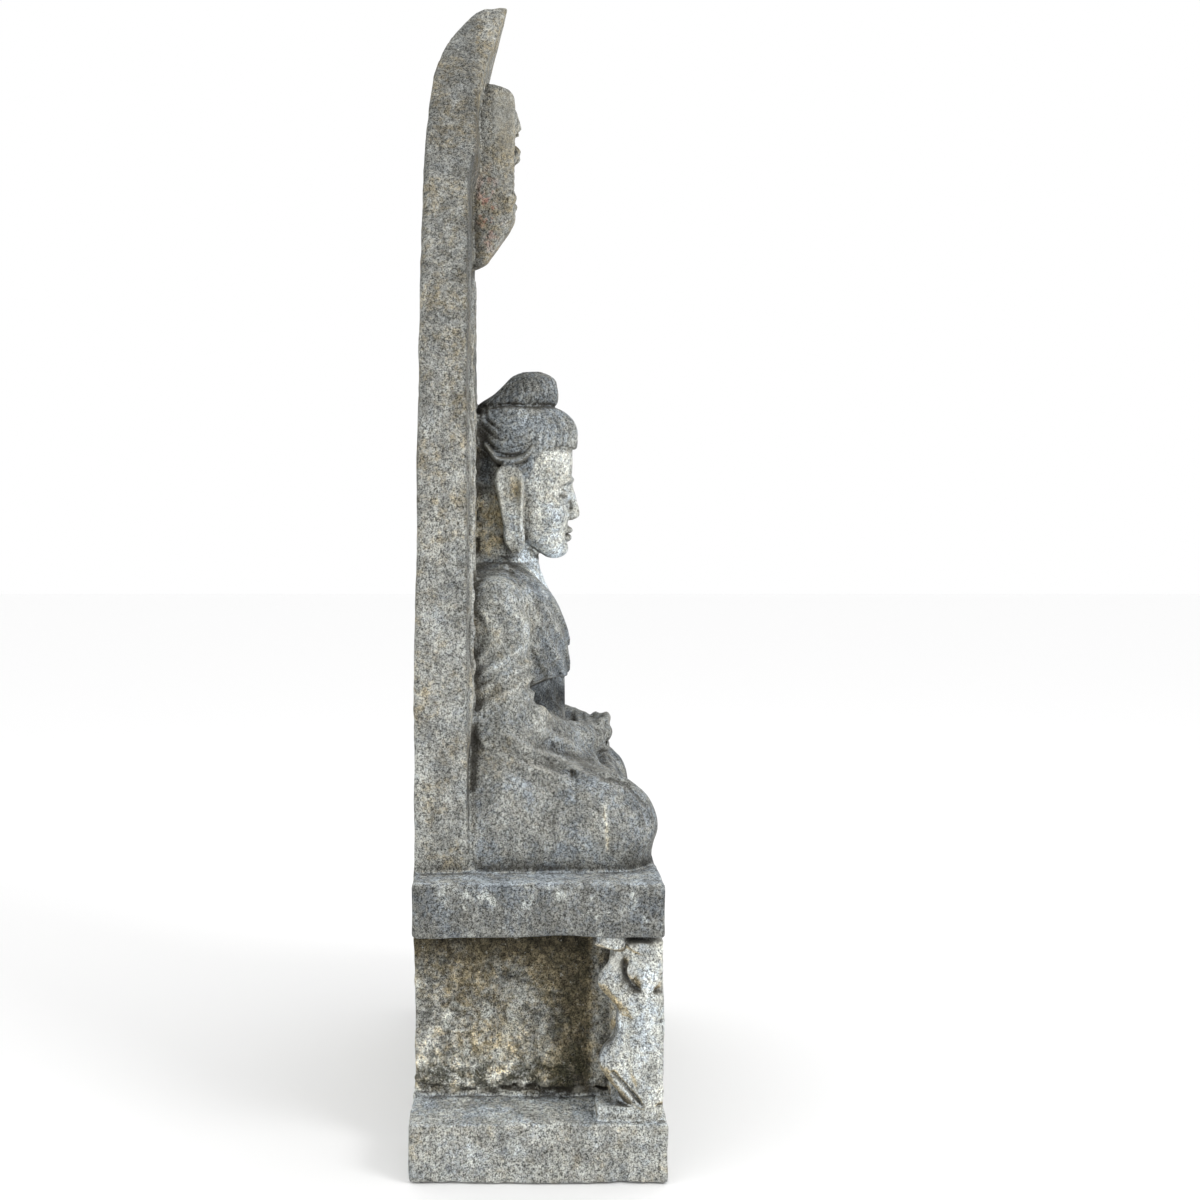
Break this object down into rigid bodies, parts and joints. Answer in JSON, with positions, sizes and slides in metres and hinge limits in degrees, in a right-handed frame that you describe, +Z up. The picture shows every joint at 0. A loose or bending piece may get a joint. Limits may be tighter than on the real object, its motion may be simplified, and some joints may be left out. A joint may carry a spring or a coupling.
{
  "type": "stone stele",
  "caption": "Carved limestone stele: a seated figure before a pointed mandorla slab on a seat slab, resting on a pedestal with a crouching bearer at each front corner.",
  "frame": {"origin": "centre of the overall box at floor level, under the pedestal", "axes": "+Z up, -Y towards the carved front, +X towards the seated figure's left"},
  "size_m": [0.85, 0.396, 1.9013],
  "materials": {
    "upper_stone": "weathered, tooled limestone with lichen",
    "pedestal_stone": "weathered limestone with brown and moss stains"
  },
  "bodies": {
    "root": {"buddha_stele": "upper_stone", "pedestal": "pedestal_stone"}
  },
  "joints": []
}
